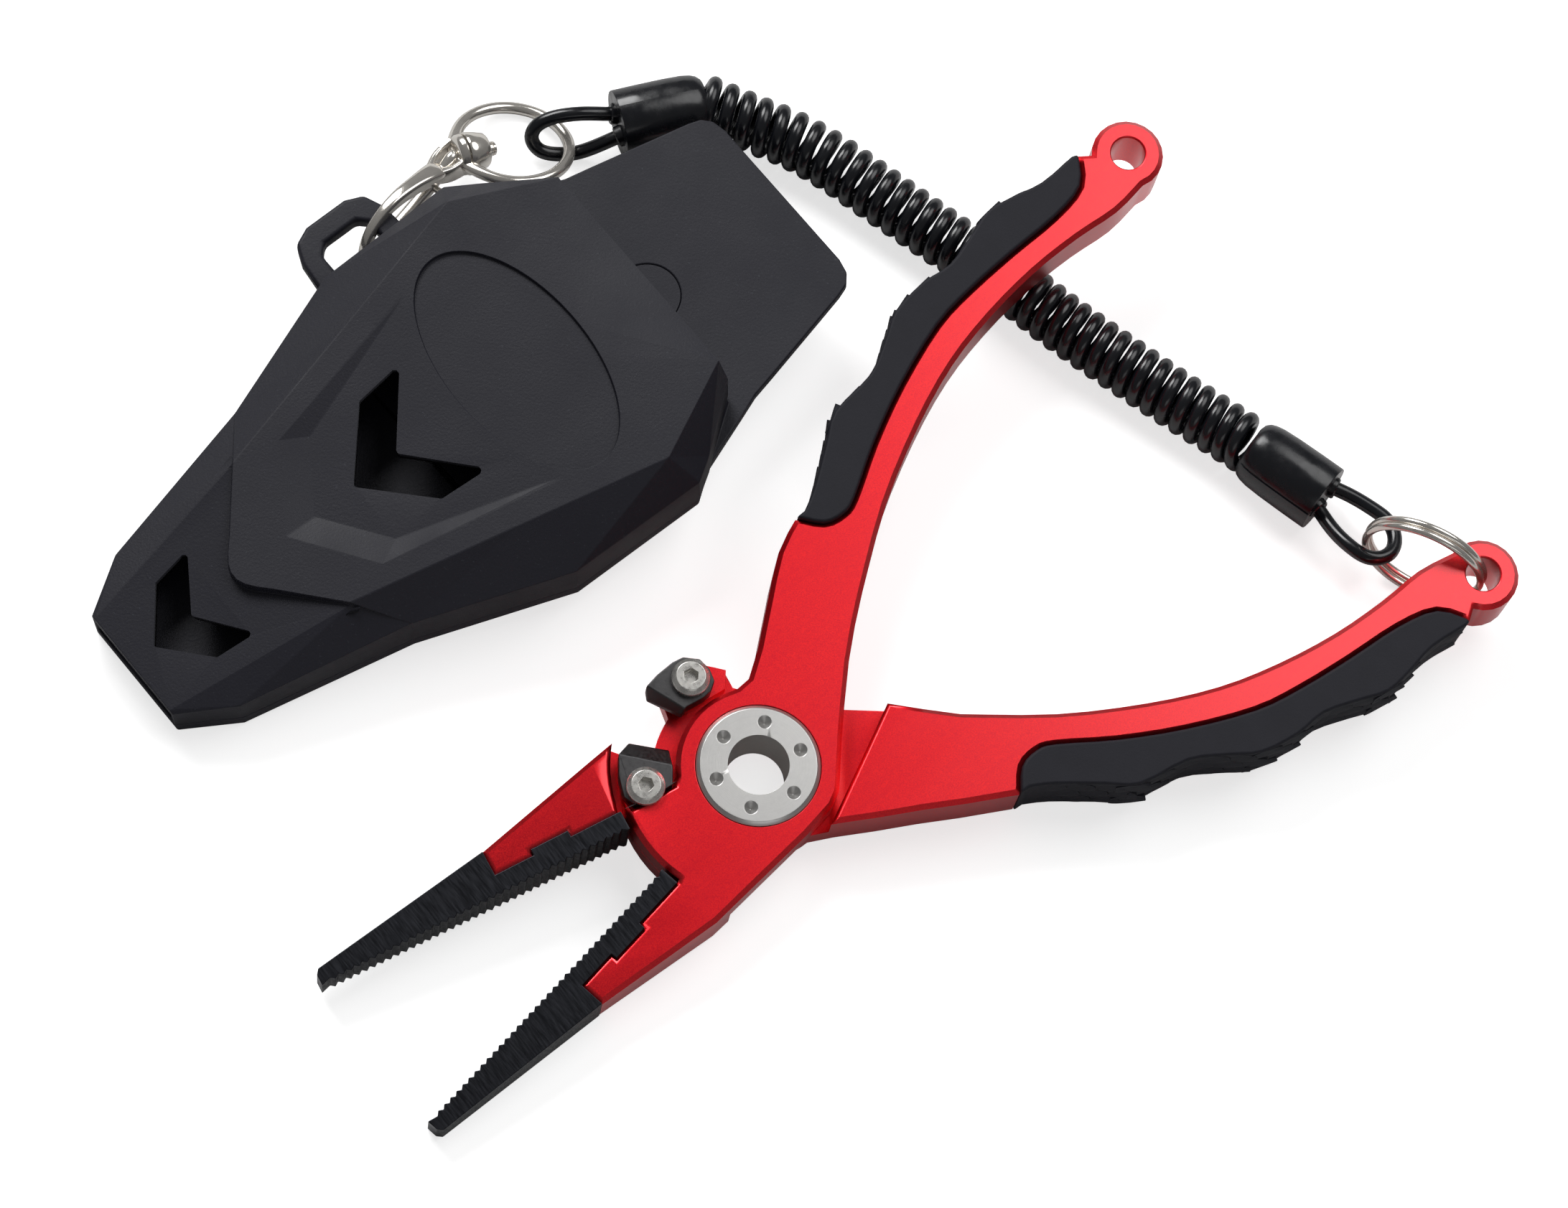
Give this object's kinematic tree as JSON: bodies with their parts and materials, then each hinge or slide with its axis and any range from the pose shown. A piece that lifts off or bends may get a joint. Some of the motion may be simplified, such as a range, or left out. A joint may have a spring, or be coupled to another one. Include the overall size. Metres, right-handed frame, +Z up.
{
  "type": "fishing pliers",
  "caption": "Long-nose aluminium fishing pliers with side cutters and rubber grips, on a coiled lanyard with a swivel clasp to a moulded belt sheath.",
  "frame": {"origin": "centre of the bore through the pivot bolt, at the middle of the levers' thickness", "axes": "+Z up from the table that everything lies on, 7.46 mm below the origin; +X and +Y along the table, +X to the right of the usual view; the jaws point to -X -Y and the handles to +X +Y"},
  "size_m": [0.2097, 0.1787, 0.0239],
  "materials": {
    "red_alloy": "satin red anodised",
    "grip": "matte textured",
    "jaw_steel": "satin",
    "dark_steel": "satin dark",
    "nickel": "bright nickel plate",
    "pivot_metal": "dark anodised",
    "washer_brass": "plain",
    "cord": "glossy",
    "sheath_plastic": "fine spark-eroded texture"
  },
  "bodies": {
    "handle_b": {"lever_b": "red_alloy", "grip_b": "grip", "jaw_insert_b": "jaw_steel", "pivot_bolt": "pivot_metal", "pivot_nut": "pivot_metal", "thrust_washer": "washer_brass", "return_spring": "dark_steel", "cutter_b": "dark_steel", "cutter_screw_b": "dark_steel", "split_ring": "nickel", "cord_loop_right": "cord", "ferrule_right": "cord", "coil_cord": "cord", "ferrule_left": "cord", "cord_loop_left": "cord", "swivel_ring": "nickel", "swivel_post": "nickel"},
    "handle_a": {"lever_a": "red_alloy", "grip_a": "grip", "jaw_insert_a": "jaw_steel", "cutter_a": "dark_steel", "cutter_screw_a": "dark_steel"},
    "clasp": {"clasp_body": "nickel", "gate_pin": "nickel", "gate_spring": "dark_steel"},
    "gate": {"clasp_gate": "nickel"},
    "sheath": {"sheath_front": "sheath_plastic", "sheath_back": "sheath_plastic", "shell_screws": "dark_steel", "clip_rivet": "sheath_plastic"},
    "clip": {"belt_clip": "sheath_plastic"}
  },
  "joints": [
    {"name": "jaw_pivot", "type": "hinge", "parent": "handle_b", "child": "handle_a", "pos_m": [0, 0, 0], "axis": [0.0192, -0.088, 0.9959], "range_deg": [-20, 0], "stiffness_Nm_per_rad": 0.3, "springref_deg": 2.86, "deforming": ["coil_cord"]},
    {"name": "clasp_swivel", "type": "hinge", "parent": "handle_b", "child": "clasp", "pos_m": [-0.058, 0.0964, -0.00286], "axis": [-0.8192, -0.528, 0.2241], "range_deg": [0, 60]},
    {"name": "gate_hinge", "type": "hinge", "parent": "clasp", "child": "gate", "pos_m": [-0.06881, 0.08583, -0.00185], "axis": [-0.8572, 0.4741, -0.2012], "range_deg": [0, 8], "stiffness_Nm_per_rad": 0.01, "springref_deg": -5.73},
    {"name": "sheath_swing", "type": "hinge", "parent": "clasp", "child": "sheath", "pos_m": [-0.0748, 0.07663, 0.0009], "axis": [0, 0, 1], "range_deg": [-4, 5]},
    {"name": "clip_swivel", "type": "hinge", "parent": "sheath", "child": "clip", "pos_m": [-0.03163, 0.0726, -0.00036], "axis": [-0.0587, -0.0713, 0.9957], "range_deg": [-40, 40]}
  ]
}
